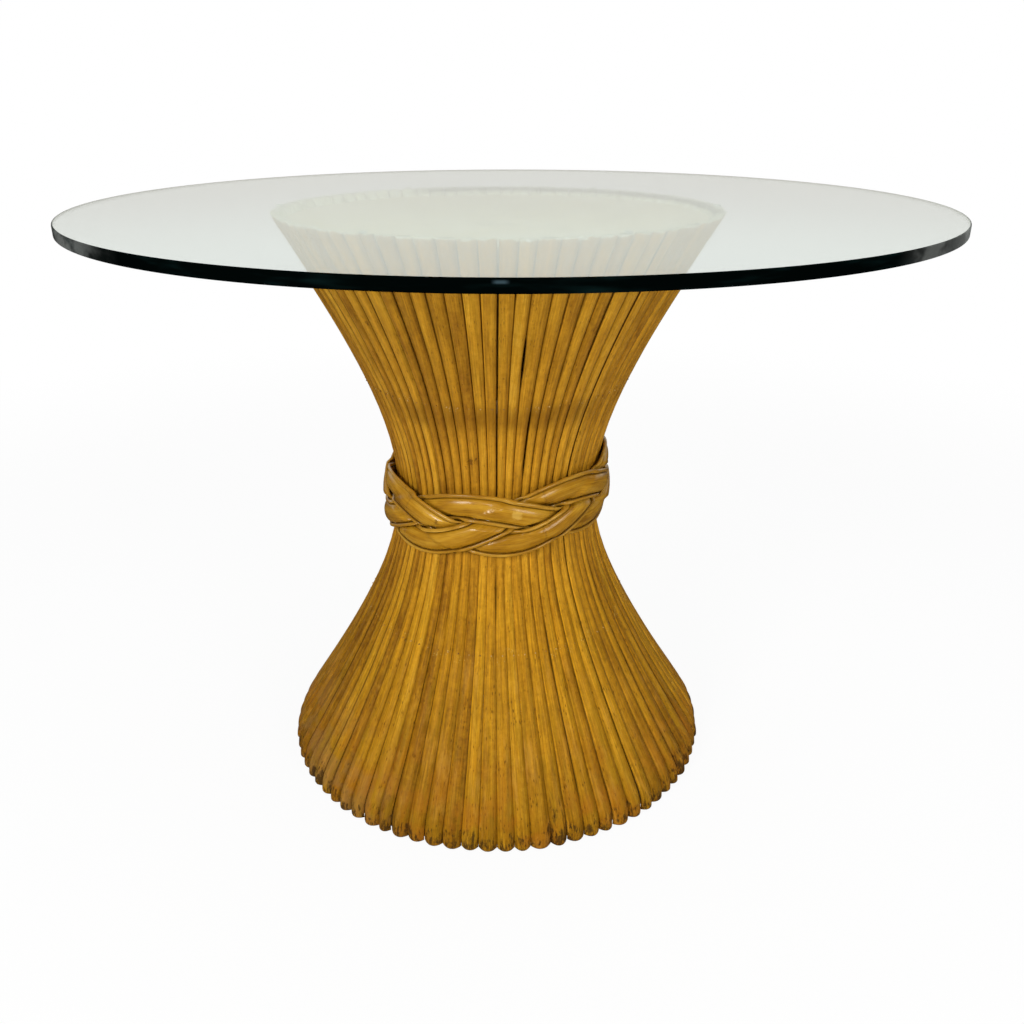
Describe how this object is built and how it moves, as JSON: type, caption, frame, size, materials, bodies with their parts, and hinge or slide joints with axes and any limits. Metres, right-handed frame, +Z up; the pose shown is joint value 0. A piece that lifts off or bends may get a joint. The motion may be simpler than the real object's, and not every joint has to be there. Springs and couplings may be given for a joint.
{
  "type": "dining table",
  "caption": "Round dining table: a loose clear glass top on a waisted sheaf of half-round rattan poles, tied at the waist by a broad rattan plait.",
  "frame": {"origin": "on the floor, straight under the centre of the glass top", "axes": "+Z up; -Y is the side the picture looks at, +X is to its right"},
  "size_m": [1.0668, 1.0668, 0.759],
  "materials": {
    "glass": "polished clear plate glass, dark green at its edge",
    "bumper": "clear soft plastic",
    "painted_plate": "matt cream paint on plywood",
    "plywood": "bare plywood",
    "hardwood": "bare dowel",
    "zinc_steel": "zinc plated",
    "nylon": "matt",
    "rattan": "satin varnish",
    "rattan_core": "gloss varnish",
    "rattan_cane": "gloss varnish",
    "brad_steel": "bright, filled over"
  },
  "bodies": {
    "pedestal": {"glass_bumpers": "bumper", "top_plate": "painted_plate", "upper_hoop": "plywood", "waist_disc": "plywood", "lower_hoop": "plywood", "foot_ring": "plywood", "post_front": "hardwood", "post_right": "hardwood", "post_back": "hardwood", "post_left": "hardwood", "post_screws_top": "zinc_steel", "post_screws_foot": "zinc_steel", "glide_nails": "zinc_steel", "glides": "nylon", "poles_front": "rattan", "poles_front_right": "rattan", "poles_right": "rattan", "poles_back_right": "rattan", "poles_back": "rattan", "poles_back_left": "rattan", "poles_left": "rattan", "poles_front_left": "rattan", "braid_core_1": "rattan_core", "braid_core_2": "rattan_core", "braid_core_3": "rattan_core", "braid_cane_upper_1": "rattan_cane", "braid_cane_upper_2": "rattan_cane", "braid_cane_upper_3": "rattan_cane", "braid_cane_lower_1": "rattan_cane", "braid_cane_lower_2": "rattan_cane", "braid_cane_lower_3": "rattan_cane", "braid_tacks": "brad_steel", "top_brads": "brad_steel", "upper_brads": "brad_steel", "lower_brads": "brad_steel", "foot_brads": "brad_steel"},
    "glass": {"glass_top": "glass"}
  },
  "joints": [
    {"name": "glass_lift", "type": "slide", "parent": "pedestal", "child": "glass", "axis": [0, 0, 1], "range_m": [0, 0.12]}
  ]
}
